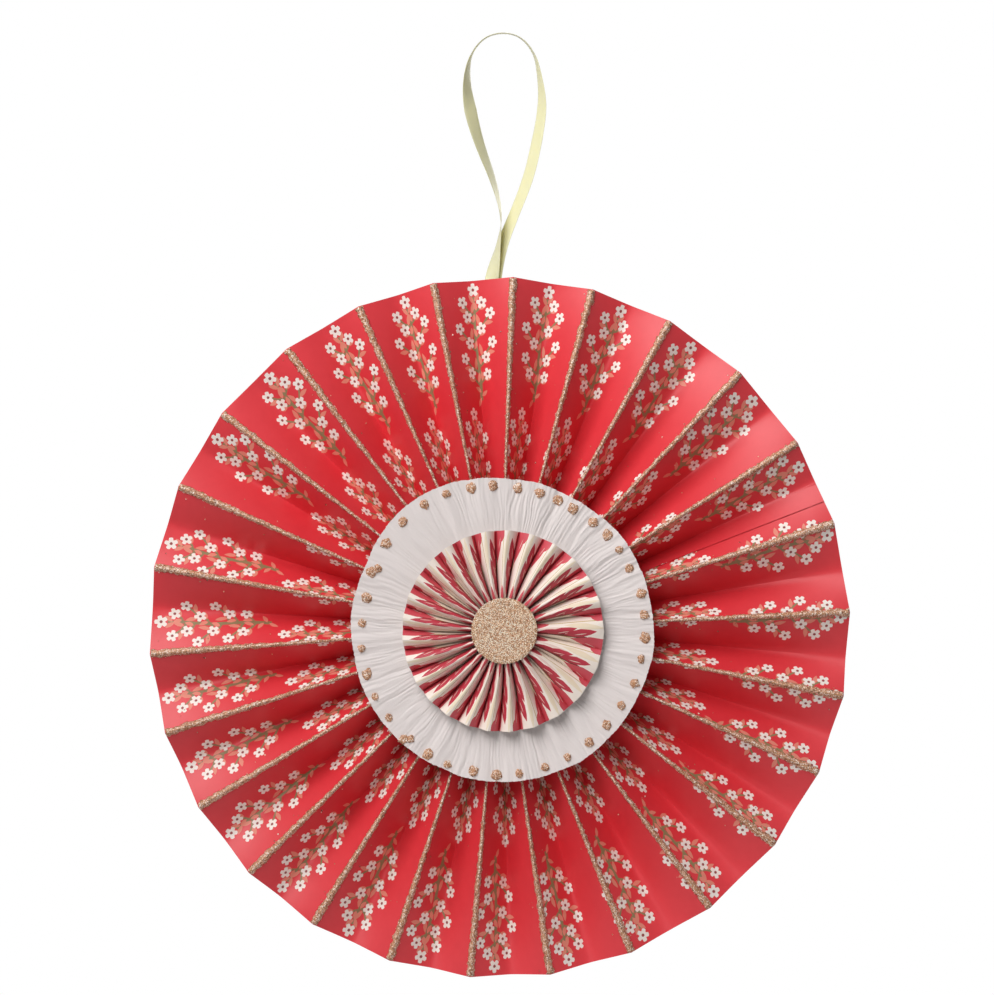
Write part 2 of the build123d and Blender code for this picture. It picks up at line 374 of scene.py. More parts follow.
def make_ribbon():
    """The ribbon, as sections across its line, turned as its route says."""
    line = ribbon_line()
    corners = [Vector((right, -out, up)) for right, out, up, turn in RIBBON_ROUTE]
    corner_marks = list(accumulate(((b - a).length for a, b in pairwise(corners)), initial=0))
    turns = [turn for right, out, up, turn in RIBBON_ROUTE]
    marks = list(accumulate(((b - a).length for a, b in pairwise(line)), initial=0))
    section = RIBBON_SECTION + [(-x, -y) for x, y in RIBBON_SECTION[1:-1]]
    wall_way = -TO_FRONT
    rings, spots = [], []
    for i, here in enumerate(line):
        travelled = marks[i] / marks[-1] * corner_marks[-1]
        after = min(max(1, bisect_left(corner_marks, travelled)), len(turns) - 1)
        first, last = corner_marks[after - 1], corner_marks[after]
        share = (travelled - first) / (last - first)
        turn = radians(between(turns[after - 1], turns[after], share))
        tangent = (line[min(i + 1, len(line) - 1)] - line[max(i - 1, 0)]).normalized()
        inward = wall_way.cross(tangent).normalized()
        width_way = wall_way * cos(turn) + inward * sin(turn)
        thick_way = tangent.cross(width_way).normalized()
        half_width, half_thickness = width_way * RIBBON_WIDTH / 2, thick_way * RIBBON_THICKNESS / 2
        rings.append([here + half_width * x + half_thickness * y for x, y in section])
        spots += [(x * RIBBON_WIDTH / 2, marks[i]) for x, y in section]
    points, faces = [], []
    tube(points, faces, [], rings, [])
    piece = new_piece("satin_ribbon_loop", points, faces, [SATIN])
    layer = piece.data.uv_layers.new(name="along")
    for loop in piece.data.loops:
        layer.data[loop.index].uv = spots[loop.vertex_index]
    finished(piece, "ribbon_loop")


# The prints, in mm on the flat strip: x runs round the fan and y out from its axis. A shape
# is an ink's place among its strip's materials, and an outline. Later shapes lie on top.
BARE, PETAL, EYE, STEM, LEAF = range(5)
CRIMSON, ROSE, BLUSH, GOLD, STRAW, PAINTED_VALLEY_SHADE = range(1, 7)


def moved(shapes, right, up, stretch=1.0):
    """Shapes again, in another place on the strip."""
    return [(ink, [(x + right, y * stretch + up) for x, y in outline]) for ink, outline in shapes]


def blossom(x, y, size, turn):
    """Five round petals in one outline, and the eye in their middle."""
    petal_reaches = (1.0, 0.96, 0.58, 0.96)
    ring = [(size * petal_reaches[k % 4], radians(turn) + k * pi / 10) for k in range(20)]
    eye = [(size * 0.25, radians(turn) + k * pi / 3) for k in range(6)]
    return [
        (PETAL, [(x + reach * sin(way), y + reach * cos(way)) for reach, way in ring]),
        (EYE, [(x + reach * sin(way), y + reach * cos(way)) for reach, way in eye]),
    ]


# A leaf's outline: how far along it, and how far off its middle in half widths
BLADE = (
    (0, 0), (0.25, 0.8), (0.55, 1), (0.82, 0.55), (1, 0), (0.82, -0.55), (0.55, -1), (0.25, -0.8),
)


def blade(ink, x, y, way, length, width, bow=0.0):
    """A leaf from its foot at x, y: pointed at both ends and bowed to one side. way is its
    clock angle."""
    along = (sin(radians(way)), cos(radians(way)))
    side = (along[1], -along[0])
    outline = []
    for share, half in BLADE:
        run = share * length
        off = half * width / 2 + bow * sin(pi * share)
        outline.append((x + along[0] * run + side[0] * off, y + along[1] * run + side[1] * off))
    return [(ink, outline)]


def stroke(ink, line, first_width, last_width):
    """A stem along a line, thinner towards its end."""
    left, right = [], []
    for i, (x, y) in enumerate(line):
        before, after = line[max(i - 1, 0)], line[min(i + 1, len(line) - 1)]
        run = (after[0] - before[0], after[1] - before[1])
        size = hypot(*run)
        half = between(first_width, last_width, i / (len(line) - 1)) / 2
        left.append((x - run[1] / size * half, y + run[0] / size * half))
        right.append((x + run[1] / size * half, y - run[0] / size * half))
    return [(ink, left + right[::-1])]


# One sprig: its main stem, its twigs, which end in a blossom each, the leaves on its main
# stem, each with its clock angle, and the blossom at its top
SPRIG_STEM = ((0.6, 0.0), (0.9, 8.0), (0.2, 17.0), (-0.5, 26.0), (0.2, 35.0), (0.3, 42.8))
SPRIG_TWIGS = (
    ((0.9, 6.0), (-2.6, 8.4), (-4.6, 11.4)),
    ((0.9, 7.0), (3.2, 8.6), (5.4, 10.6)),
    ((0.6, 11.5), (-4.2, 13.6), (-8.0, 17.4)),
    ((0.4, 13.6), (3.4, 15.4), (5.0, 17.6)),
    ((0.2, 17.0), (5.2, 19.2), (8.9, 23.6)),
    ((-0.2, 20.5), (-2.6, 21.6), (-3.9, 23.8)),
    ((-0.5, 24.0), (-5.6, 25.8), (-9.1, 29.8)),
    ((-0.5, 25.4), (1.8, 26.8), (3.2, 29.6)),
    ((-0.2, 29.6), (4.6, 31.4), (8.0, 35.6)),
    ((0.0, 31.6), (-2.4, 32.4), (-3.9, 34.6)),
    ((0.2, 34.8), (-3.4, 37.0), (-5.9, 40.6)),
    ((0.2, 36.4), (2.4, 37.6), (4.0, 40.2)),
)
STEM_LEAVES = ((0.8, 3.2, -58), (0.9, 1.8, 62), (0.6, 1.0, -150), (0.1, 40.0, -34), (0.3, 40.8, 36))
SPRIG_TOP = (0.3, 45.6)
STEM_WIDTHS = (1.9, 1.1)
TWIG_WIDTHS = (1.25, 0.8)
BLOSSOM_SIZE = 2.6
SPRIG_PITCH = 36.8
SPRIG_BASE = 98.4
SPRIG_STRETCH = 1.045
ROW_STEP = 53.6
ROW_SHIFT = -7.0


def sprig():
    """Small white blossoms on a branching stem, with a pair of leaves along each twig."""
    stems, leaves, blossoms = stroke(STEM, SPRIG_STEM, *STEM_WIDTHS), [], []
    for number, twig in enumerate(SPRIG_TWIGS):
        stems += stroke(STEM, twig, *TWIG_WIDTHS)
        (x0, y0), (x1, y1), (x2, y2) = twig
        way = degrees(atan2(x2 - x1, y2 - y1))
        outer_side = 1 if x2 > x0 else -1
        length = 3.0 + 0.25 * hypot(x2 - x0, y2 - y0)
        middle = ((x0 + x1) / 2, (y0 + y1) / 2)
        leaves += blade(LEAF, *middle, way - 52 * outer_side, length * 0.95, 1.9, 0.2)
        leaves += blade(LEAF, x1, y1, way + 46 * outer_side, length * 0.9, 1.9, -0.2)
        blossoms += blossom(x2, y2, BLOSSOM_SIZE, 20 + 37 * number)
    for x, y, way in STEM_LEAVES:
        leaves += blade(LEAF, x, y, way, 4.4, 1.8, 0.2)
    blossoms += blossom(*SPRIG_TOP, BLOSSOM_SIZE * 1.08, 0)
    return stems + leaves + blossoms


def sprig_rows(first_right, count):
    """Two rows of sprigs, as wide apart as the printer's roll was. The rest of the strip,
    which the ruffle covers, is left bare."""
    shapes = []
    for k in range(-1, count):
        right = first_right + k * SPRIG_PITCH
        shapes += moved(sprig(), right, SPRIG_BASE, SPRIG_STRETCH)
        shapes += moved(sprig(), right + ROW_SHIFT, SPRIG_BASE - ROW_STEP, SPRIG_STRETCH)
    return shapes


# The inner strip's print beside each valley. A leaf of the spray has its foot, its lean in
# degrees, its length and its width
LEAF_SPRAY = ((14.5, -24, 9.0, 3.0), (18.5, -20, 14.0, 4.6), (26.0, -14, 14.5, 4.4))
# A strip of painted shade along each valley's bottom, wide near the eye and thin further out: the shade
# of the deep slot, drawn as print
VALLEY_SHADE_STRIP = ((-0.3, 7.0), (-0.4, 20.0), (-0.2, 36.0))
VALLEY_SHADE_STRIP_WIDTHS = (3.8, 1.2)
RIM_BUD = (
    (0, 0), (-1.1, 4.0), (-2.3, 8.6), (-2.2, 14.6), (4.8, 14.6), (5.1, 11.6), (4.1, 9.8),
    (3.1, 9.2), (2.7, 6.4), (1.5, 3.1),
)


def leaf_print(pitch):
    """The inner strip's print, once to a pleat: three broad crimson leaves that lean out of
    each valley, a dark maroon strip of painted shade along its bottom, where the deep slot
    lies in shade, a blunt bud that the rim cuts off, a short leaf near the disc, and straw
    leaves and gold stems between. The print isn't quite in step with the folds."""
    shapes = []
    for k, valley in enumerate(INNER_VALLEYS):
        drift = 0.12 * (1 - cos(radians(2 * (valley - 15))))
        x = 2 * pitch * (k - drift)
        shapes += blade(STRAW, x + 8.0, 26.0, 5, 17.5, 3.2)
        shapes += blade(BLUSH, x + 10.4, 12.0, 0, 18.0, 2.2)
        shapes += stroke(GOLD, ((x + 5.6, 12.0), (x + 6.6, 24.0), (x + 6.0, 42.8)), 0.5, 0.35)
        shapes += stroke(GOLD, ((x - 0.2, 9.0), (x + 0.2, 20.0), (x + 1.2, 31.0)), 0.6, 0.4)
        # Painted shade along the valley's bottom
        shapes += moved(stroke(PAINTED_VALLEY_SHADE, VALLEY_SHADE_STRIP, *VALLEY_SHADE_STRIP_WIDTHS), x, 0)
        for foot, lean, length, width in LEAF_SPRAY:
            shapes += blade(CRIMSON, x - 0.5, foot, lean, length, width, -0.3)
            shapes += blade(BLUSH, x - 1.1, foot + 4.6, lean - 2, 5.6, 0.5)
        shapes += [(ROSE, [(x + 1.3 + right, 28.9 + up) for right, up in RIM_BUD])]
        shapes += blade(BLUSH, x + 2.6, 35.4, 12, 5.0, 0.35)
        shapes += blade(ROSE, x + 7.4, 9.0, -3, 11.0, 5.6)
    return shapes


# The fans


# How near to each other, in mm, two points on the flat strip count as one, and how far a
# point may lie from the edge that it is on
CUT_SLACK = 1e-4
EDGE_SLACK = 1e-3
# Over what share of a panel a lap rises to its full lift, and how many times as far it may
# lift where the folds are steep
LAP_RAMP = 0.12
LAP_STEEPEST = 3
# What a flat strip says of each of its points, for the tree that folds it
FLAT_LAYERS = {
    "way": "FLOAT_VECTOR", "fold": "FLOAT", "spread": "FLOAT", "front": "FLOAT", "stray": "FLOAT",
}


# A panel as wide as its wedge has no room left to climb, and still gets this much, in m2
LEAST_ROOM = 4e-7
# A face is on the printed side where its points' front comes to more than this
PRINTED = 0.9


def fold_tree():
    """Folds a flat strip and gathers it into a fan. Paper doesn't stretch, so a panel that
    has less room sideways near the eye climbs by what it doesn't spend: the folds are deep
    at the eye and shallow at the rim. The flat strip says where each point goes: way is its
    direction from the axis, spread its panel's half angle as a tangent, fold its share from
    a valley to the next front fold, front whether it is on the printed face, and stray how
    far it strays from the rule.

    Roundness turns a fold's crest over in a curve, and a fullness under one swells it to a
    tube. Softness rounds a valley's bottom near the rim, where the paper isn't pressed."""
    numbers = ("pitch", "paper", "level", "roundness", "fullness", "softness")
    tree, given, result = new_tree("fold_and_gather", numbers, {"Reverse": "Material"})
    place = add_node(tree, "GeometryNodeInputPosition")
    across = add_node(tree, "ShaderNodeSeparateXYZ", {0: place}).node
    sums = {
        label: add_node(tree, "GeometryNodeInputNamedAttribute", {"Name": label}, data_type=kind)
        for label, kind in FLAT_LAYERS.items()
    }
    sums |= {name: given[name] for name in numbers} | {"reach": across.outputs["Y"]}
    for label, operation, *values in (
        ("run", "MULTIPLY", "reach", "spread"),
        ("run squared", "MULTIPLY", "run", "run"),
        ("pitch squared", "MULTIPLY", "pitch", "pitch"),
        ("room", "SUBTRACT", "pitch squared", "run squared"),
        ("some room", "MAXIMUM", "room", LEAST_ROOM),
        ("rise", "SQRT", "some room"),
        ("steepness", "DIVIDE", "pitch", "run"),
        ("skin", "MULTIPLY", "steepness", "paper"),
        ("nose", "DIVIDE", "rise", "run"),
        ("nose skin", "MULTIPLY", "nose", "paper"),
        ("tip", "SUBTRACT", "skin", "nose skin"),
        ("tip and rise", "ADD", "tip", "rise"),
        ("crest", "MULTIPLY", "tip and rise", 0.5),
        ("inner", "SUBTRACT", "rise", "skin"),
        ("crotch", "MULTIPLY", "inner", 0.5),
        ("depth", "SUBTRACT", "crest", "crotch"),
        ("span", "ADD", "crest", "crotch"),
        ("fold squared", "MULTIPLY", "fold", "fold"),
        ("open share", "DIVIDE", "run", "pitch"),
        ("open cubed", "POWER", "open share", 3.0),
        ("soft", "MULTIPLY", "softness", "open cubed"),
        ("soft squared", "MULTIPLY", "soft", "soft"),
        ("leg", "ADD", "fold squared", "soft squared"),
        ("bowl", "SQRT", "leg"),
        ("bowl climb", "SUBTRACT", "bowl", "soft"),
        ("longest leg", "ADD", "soft squared", 1.0),
        ("widest bowl", "SQRT", "longest leg"),
        ("whole climb", "SUBTRACT", "widest bowl", "soft"),
        ("soft fold", "DIVIDE", "bowl climb", "whole climb"),
        ("quarter turn", "MULTIPLY", "soft fold", pi / 2),
        ("round fold", "SINE", "quarter turn"),
        ("rounding", "SUBTRACT", "round fold", "soft fold"),
        ("rounded", "MULTIPLY", "rounding", "roundness"),
        ("plain climb", "ADD", "soft fold", "rounded"),
        ("climb", "POWER", "plain climb", "fullness"),
        ("climbed", "MULTIPLY", "climb", "span"),
        ("face", "MULTIPLY", "front", "depth"),
        ("up", "ADD", "climbed", "face"),
        ("over middle", "SUBTRACT", "up", "crest"),
        ("over level", "ADD", "over middle", "level"),
        ("height", "ADD", "over level", "stray"),
    ):
        inputs = {i: sums.get(value, value) for i, value in enumerate(values)}
        sums[label] = add_node(tree, "ShaderNodeMath", inputs, operation=operation)
    spoke = add_node(
        tree, "ShaderNodeVectorMath", {0: sums["way"], "Scale": sums["reach"]}, operation="SCALE"
    )
    rise = add_node(
        tree, "ShaderNodeVectorMath", {0: TO_FRONT, "Scale": sums["height"]}, operation="SCALE"
    )
    spot = add_node(tree, "ShaderNodeVectorMath", {0: spoke, 1: rise}, operation="ADD")
    folded = add_node(
        tree, "GeometryNodeSetPosition", {"Geometry": given["Geometry"], "Position": spot}
    )
    real = add_node(tree, "GeometryNodeRealizeInstances", {"Geometry": folded})
    unprinted = add_node(tree, "ShaderNodeMath", {0: sums["front"], 1: PRINTED}, operation="LESS_THAN")
    backed = add_node(
        tree, "GeometryNodeSetMaterial",
        {"Geometry": real, "Selection": unprinted, "Material": given["Reverse"]},
    )
    tree.links.new(backed, result[0])
    return tree


def cut_panel(lows, rights, highs, lefts, reaches, columns, prints):
    """Cuts one flat panel along its reaches and columns and round its prints. lows and highs
    are where points lie along its two short edges, and lefts and rights along its folds.
    Returns its points, its triangles and each triangle's ink."""
    left, right, low, high = lows[0], lows[-1], lefts[0], lefts[-1]
    outline = [(x, low) for x in lows] + [(right, y) for y in rights[1:]]
    outline += [(x, high) for x in highs[-2::-1]] + [(left, y) for y in lefts[-2:0:-1]]
    points, edges, loops = list(outline), [], [list(range(len(outline)))]
    lines = [((left, y), (right, y)) for y in reaches[1:-1]]
    lines += [((x, low), (x, high)) for x in columns[1:-1]]
    for line in lines:
        edges.append((len(points), len(points) + 1))
        points += line
    for ink, shape in prints:
        area = sum(a[0] * b[1] - b[0] * a[1] for a, b in pairwise([*shape, shape[0]]))
        loops.append(list(range(len(points), len(points) + len(shape))))
        points += shape if area > 0 else shape[::-1]
    flat_points = [Vector(point) for point in points]
    made = delaunay_2d_cdt(flat_points, edges, loops, 0, CUT_SLACK, False)
    spots = np.array([tuple(spot) for spot in made[0]])
    triangles = np.array(made[2])
    middles = spots[triangles].mean(1)
    inside = covered(middles, outline)
    triangles, middles = triangles[inside], middles[inside]
    inks = np.zeros(len(triangles), int)
    for ink, shape in prints:
        inks[covered(middles, shape)] = ink
    used, corners = np.unique(triangles, return_inverse=True)
    return spots[used].tolist(), corners.reshape(-1, 3).tolist(), inks.tolist()


def along_edge(spots, axis, first, last, level):
    """How far along one straight edge of a panel each point on it lies, from its first
    corner to its last."""
    beside = [spot[axis] for spot in spots if abs(spot[1 - axis] - level) < EDGE_SLACK]
    inner = sorted(mark for mark in beside if first + EDGE_SLACK < mark < last - EDGE_SLACK)
    return [first, *inner, last]


def covered(places, outline):
    """Which of these places lie inside an outline, by how often a ray to the right of each
    crosses it."""
    x, y = places[:, 0], places[:, 1]
    inside = np.zeros(len(places), bool)
    for (x1, y1), (x2, y2) in pairwise([*outline, outline[0]]):
        if y1 != y2:
            crossing = (y1 > y) != (y2 > y)
            inside ^= crossing & (x < (x2 - x1) * (y - y1) / (y2 - y1) + x1)
    return inside


def flat_strip(name, folds, first_is_ridge, size, reaches, prints, materials, ends):
    """A strip as it lies flat, printed and not yet folded, as one closed sheet. ends says at
    what share of its first and last panels it begins and stops, and how far each of these
    two ends is lifted, in mm, where it laps the other strip."""
    pitch, radius, paper_thickness = size["pitch"], size["radius"], size["paper"]
    valley_reach = cos(pi / PLEATS)
    random = Random(size["seed"])
    steps = [after - before for before, after in pairwise(folds)]
    near_steps = [steps[0]] + [(a + b) / 2 for a, b in pairwise(steps)] + [steps[-1]]
    evens = [between(180 / PLEATS, step, size["unevenness"]) for step in near_steps]
    spreads = [tan(radians(even)) for even in evens]
    ridges = [float((i % 2 == 0) == first_is_ridge) for i in range(len(folds))]
    swells = [random.uniform(-1, 1) * size["swell"] for step in steps]
    first_share, last_share, first_lap, last_lap = ends
    found = {label: [] for label in FLAT_LAYERS}
    points, faces, inks = [], [], []

    def way_at(fold, reach):
        turn = radians(folds[fold] + size["swirl"] * (reach / radius - 1))
        return Vector((sin(turn), 0, cos(turn))) * (1 if ridges[fold] else valley_reach)

    def lay(panel, spots, front):
        first = len(points)
        lap = (first_lap if panel == 0 else 0) + (last_lap if panel == len(steps) - 1 else 0)
        for x, y in spots:
            share = x / pitch - panel
            points.append(Vector((x, y, front * paper_thickness)) * MM)
            found["way"].append(way_at(panel, y).lerp(way_at(panel + 1, y), share))
            found["fold"].append(between(ridges[panel], ridges[panel + 1], share))
            spread = between(spreads[panel], spreads[panel + 1], share)
            found["spread"].append(spread)
            found["front"].append(front)
            steepness = min(pitch / (y * spread), LAP_STEEPEST)
            lift = lap * steepness * min(1, (share if panel else 1 - share) / LAP_RAMP)
            swell = swells[panel] * sin(pi * share) * (y / radius) ** 2
            found["stray"].append((lift + swell) * MM)
        return first

    for panel in range(len(steps)):
        left = (panel + (first_share if panel == 0 else 0)) * pitch
        right = (panel + (last_share if panel == len(steps) - 1 else 1)) * pitch
        shares = size["columns"]
        if ridges[panel]:
            shares = [1 - share for share in shares[::-1]]
        columns = [between(left, right, share) for share in shares]
        near = [
            (ink, outline)
            for ink, outline in prints
            if min(x for x, y in outline) < right and max(x for x, y in outline) > left
        ]
        lows, rights, highs, lefts = columns, reaches, columns, reaches
        for front, shapes, winding in ((1, near, 1), (0, [], -1)):
            cut = cut_panel(lows, rights, highs, lefts, reaches, columns, shapes)
            spots, triangles, colours = cut
            start = lay(panel, spots, front)
            faces += [[start + corner for corner in triangle[::winding]] for triangle in triangles]
            inks += colours
            if front:
                lows = along_edge(spots, 0, left, right, reaches[0])
                highs = along_edge(spots, 0, left, right, reaches[-1])
                if panel == 0:
                    lefts = along_edge(spots, 1, reaches[0], radius, left)
                if panel == len(steps) - 1:
                    rights = along_edge(spots, 1, reaches[0], radius, right)
        rims = [[(x, reaches[0]) for x in lows], [(x, reaches[-1]) for x in highs[::-1]]]
        rims += [[(left, y) for y in lefts[::-1]]] if panel == 0 else []
        rims += [[(right, y) for y in rights]] if panel == len(steps) - 1 else []
        for rim in rims:
            start = lay(panel, rim, 1)
            lay(panel, rim, 0)
            count = len(rim)
            for k in range(count - 1):
                a, b = start + k, start + k + 1
                faces.append([a, a + count, b + count, b])
                inks.append(BARE)
    piece = new_piece(name, points, faces, materials, inks)
    for label, values in found.items():
        layer = piece.data.attributes.new(label, FLAT_LAYERS[label], "POINT")
        field = "vector" if label == "way" else "value"
        layer.data.foreach_set(field, np.array(values, "float32").ravel())
    return piece


def sealed(piece):
    """Joins the points that lie on each other."""
    sheet = bmesh.new()
    sheet.from_mesh(piece.data)
    bmesh.ops.remove_doubles(sheet, verts=sheet.verts, dist=WELD)
    sheet.to_mesh(piece.data)
    sheet.free()


def make_fan_strip(name, folds, first_is_ridge, size, reaches, prints, materials, ends, node):
    """Lays a strip flat, welds it, folds it and hands it over."""
    piece = flat_strip(name, folds, first_is_ridge, size, reaches, prints, materials, ends)
    sealed(piece)
    metres = {label: size[label] * MM for label in ("pitch", "paper", "level")}
    run_tree(piece, FOLD_TREE, size | metres | {"Reverse": WHITE_PAPER})
    for label in FLAT_LAYERS:
        piece.data.attributes.remove(piece.data.attributes[label])
    piece.data.set_sharp_from_angle(angle=FOLD_SHARPNESS)
    finished(piece, node)
    return piece


def fold_pitch(radius, rim_rise):
    """The width of one panel, from the rim's radius and the folds' height there."""
    return hypot(radius * tan(pi / PLEATS), rim_rise)


FOLD_TREE = fold_tree()
FOLD_SHARPNESS = radians(24)
# How each fan was folded: how uneven its pleats are, how far its folds lean at the eye in
# degrees, how far its panels swell in mm, where a panel's columns of points lie, and the
# tree's own values
OUTER = {
    "pitch": fold_pitch(OUTER_RADIUS, OUTER_RIM_RISE),
    "radius": OUTER_RADIUS,
    "paper": OUTER_PAPER,
    "level": OUTER_LEVEL,
    "unevenness": 0.25,
    "swirl": 0.0,
    "swell": 0.35,
    "columns": (0, 0.07, 0.18, 0.34, 0.54, 0.77, 1),
    "roundness": 0.06,
    "fullness": 1.0,
    "softness": 0.18,
    "seed": 11,
}
INNER = {
    "pitch": fold_pitch(INNER_RADIUS, INNER_RIM_RISE),
    "radius": INNER_RADIUS,
    "paper": INNER_PAPER,
    "level": INNER_LEVEL,
    "unevenness": 1.0,
    "swirl": 5.0,
    "swell": 0.1,
    "columns": (0, 0.04, 0.1, 0.2, 0.36, 0.56, 0.78, 1),
    "roundness": 0.9,
    "fullness": 0.66,
    "softness": 0.0,
    "seed": 12,
}
OUTER_REACHES = [OUTER_EYE, 8, 10.5, 14, 18, 23, 29, 36, 43, 50, 56, *range(62, 151, 4)]
INNER_REACHES = [INNER_EYE, 5, 7, 9.5, *range(12, 40, 3), 41, INNER_RADIUS]
OUTER_INKS = [RED_PAPER, PETAL_INK, EYE_INK, STEM_INK, LEAF_INK]
INNER_INKS = [CREAM_PAPER, CRIMSON_INK, ROSE_INK, BLUSH_INK, GOLD_INK, STRAW_INK, PAINTED_VALLEY_SHADE_INK]
# Where each strip's print starts, in panels, and how many sprigs it takes
LONG_FIRST_SPRIG, LONG_SPRIGS = 1.19, 18
SHORT_FIRST_SPRIG, SHORT_SPRIGS = 1.41, 11


def make_fans():
    """All three strips. Returns the two that the lines of glitter lie on."""
    pitch = OUTER["pitch"]
    long_strip = make_fan_strip(
        "outer_fan_long_strip_paper", LONG_FOLDS, False, OUTER, OUTER_REACHES,
        sprig_rows(LONG_FIRST_SPRIG * pitch, LONG_SPRIGS), OUTER_INKS, (START_SHARE, TAB_SHARE, 0, -LAP),
        "outer_fan_long_strip",
    )
    short_strip = make_fan_strip(
        "outer_fan_short_strip_paper", SHORT_FOLDS, True, OUTER, OUTER_REACHES,
        sprig_rows(SHORT_FIRST_SPRIG * pitch, SHORT_SPRIGS), OUTER_INKS, (0, SEAM_SHARE, 0, LAP),
        "outer_fan_short_strip",
    )
    inner_folds = []
    for before, after in pairwise(INNER_VALLEYS):
        inner_folds += [before, (before + after) / 2]
    inner_folds.append(INNER_VALLEYS[-1])
    make_fan_strip(
        "inner_fan_paper", inner_folds, False, INNER, INNER_REACHES,
        leaf_print(INNER["pitch"]), INNER_INKS, (0, 1, 0, 0),
        "inner_fan",
    )
    return long_strip, short_strip


# Glitter, which is strewn on wet glue or bonded to a card. Real crumbs are about 0.2 mm
# across, and these are larger, so that they show and there are few enough. A crumb's size
# runs from one share of the given one to another, and its depth is a share of its size
CRUMB_SHARES = (0.55, 1.3)
CRUMB_DEPTH = 0.2
CRUMB_SHADES_SEED = 7


def glitter_tree():
    """Covers a body of glue or card with crumbs of film. It first makes the glue lumpy, and
    then strews flat three-sided crumbs over the faces whose coated attribute is one."""
    tree, given, result = new_tree(
        "strewn_glitter",
        ("Crumb size", "Crumbs per area", "Lump height", "Lump size", "Tilt"),
        {"Seed": "Int", "Body": "Material", "Crumb": "Material"},
    )
    fineness = add_node(tree, "ShaderNodeMath", {0: 1.0, 1: given["Lump size"]}, operation="DIVIDE")
    lumps = add_node(tree, "ShaderNodeTexNoise", {"Scale": fineness, "Detail": 1.0})
    swell = add_node(tree, "ShaderNodeMath", {0: lumps, 1: 2.0, 2: -1.0}, operation="MULTIPLY_ADD")
    coated = add_node(tree, "GeometryNodeInputNamedAttribute", {"Name": "coated"}, data_type="FLOAT")
    for factor in (given["Lump height"], coated):
        swell = add_node(tree, "ShaderNodeMath", {0: swell, 1: factor}, operation="MULTIPLY")
    normal = add_node(tree, "GeometryNodeInputNormal")
    offset = add_node(tree, "ShaderNodeVectorMath", {0: normal, "Scale": swell}, operation="SCALE")
    body = add_node(tree, "GeometryNodeSetPosition", {"Geometry": given["Geometry"], "Offset": offset})
    density = add_node(
        tree, "ShaderNodeMath", {0: given["Crumbs per area"], 1: coated}, operation="MULTIPLY"
    )
    places = add_node(
        tree, "GeometryNodeDistributePointsOnFaces",
        {"Mesh": body, "Density": density, "Seed": given["Seed"]},
    )
    chip = {"Vertices": 3, "Radius Top": 0.0, "Radius Bottom": 1.0, "Depth": CRUMB_DEPTH}
    crumb = add_node(tree, "GeometryNodeMeshCone", chip, fill_type="NGON")
    least, most = CRUMB_SHARES
    share = add_node(
        tree, "FunctionNodeRandomValue", {2: least, 3: most, 8: given["Seed"]}, data_type="FLOAT"
    )
    size = add_node(tree, "ShaderNodeMath", {0: share, 1: given["Crumb size"]}, operation="MULTIPLY")
    crumbs = add_node(
        tree, "GeometryNodeInstanceOnPoints",
        {"Points": places, "Instance": crumb, "Rotation": places.node.outputs["Rotation"], "Scale": size},
    )
    tilt = add_node(tree, "ShaderNodeCombineXYZ", {0: given["Tilt"], 1: given["Tilt"], 2: pi})
    less_tilt = add_node(tree, "ShaderNodeVectorMath", {0: tilt, "Scale": -1.0}, operation="SCALE")
    turn = add_node(tree, "FunctionNodeRandomValue", {0: less_tilt, 1: tilt}, data_type="FLOAT_VECTOR")
    turned = add_node(tree, "GeometryNodeRotateInstances", {"Instances": crumbs, "Rotation": turn})
    # A random shade for each crumb, which the material's ramp turns into painted glint or painted dark
    shade = add_node(
        tree, "FunctionNodeRandomValue", {2: 0.0, 3: 1.0, 8: CRUMB_SHADES_SEED}, data_type="FLOAT"
    )
    shaded = add_node(
        tree, "GeometryNodeStoreNamedAttribute",
        {"Geometry": turned, "Name": "glint_shade", "Value": shade}, data_type="FLOAT", domain="INSTANCE",
    )
    real = add_node(tree, "GeometryNodeRealizeInstances", {"Geometry": shaded})
    flat = add_node(tree, "GeometryNodeSetShadeSmooth", {"Geometry": real, "Shade Smooth": False})
    film = add_node(tree, "GeometryNodeSetMaterial", {"Geometry": flat, "Material": given["Crumb"]})
    glue = add_node(tree, "GeometryNodeSetMaterial", {"Geometry": body, "Material": given["Body"]})
    joined = tree.nodes.new("GeometryNodeJoinGeometry")
    for part in (glue, film):
        tree.links.new(part, joined.inputs[0])
    tree.links.new(joined.outputs[0], result[0])
    return tree


GLITTER_TREE = glitter_tree()


def strew(piece, coated, crumb, slot, node, **values):
    """Coats the points of a piece that are marked in coated, and hands it over."""
    layer = piece.data.attributes.new("coated", "FLOAT", "POINT")
    layer.data.foreach_set("value", coated)
    run_tree(
        piece,
        GLITTER_TREE,
        {name.replace("_", " "): value for name, value in values.items()}
        | {"Body": GLUE, "Crumb": crumb},
    )
    finished(piece, node)


# A level well in front of the whole medallion, in mm
RAY_LEVEL = 60


def surfaces_under(pieces):
    """Where a ray from the front first meets any of these pieces, as a level in mm."""
    trees = [
        BVHTree.FromPolygons(
            [vertex.co for vertex in piece.data.vertices],
            [polygon.vertices for polygon in piece.data.polygons],
        )
        for piece in pieces
    ]

    def level(angle, reach):
        start = around(angle, reach, RAY_LEVEL)
        hits = [tree.ray_cast(start, -TO_FRONT)[0] for tree in trees]
        return max((-hit.y / MM for hit in hits if hit), default=None)

    return level


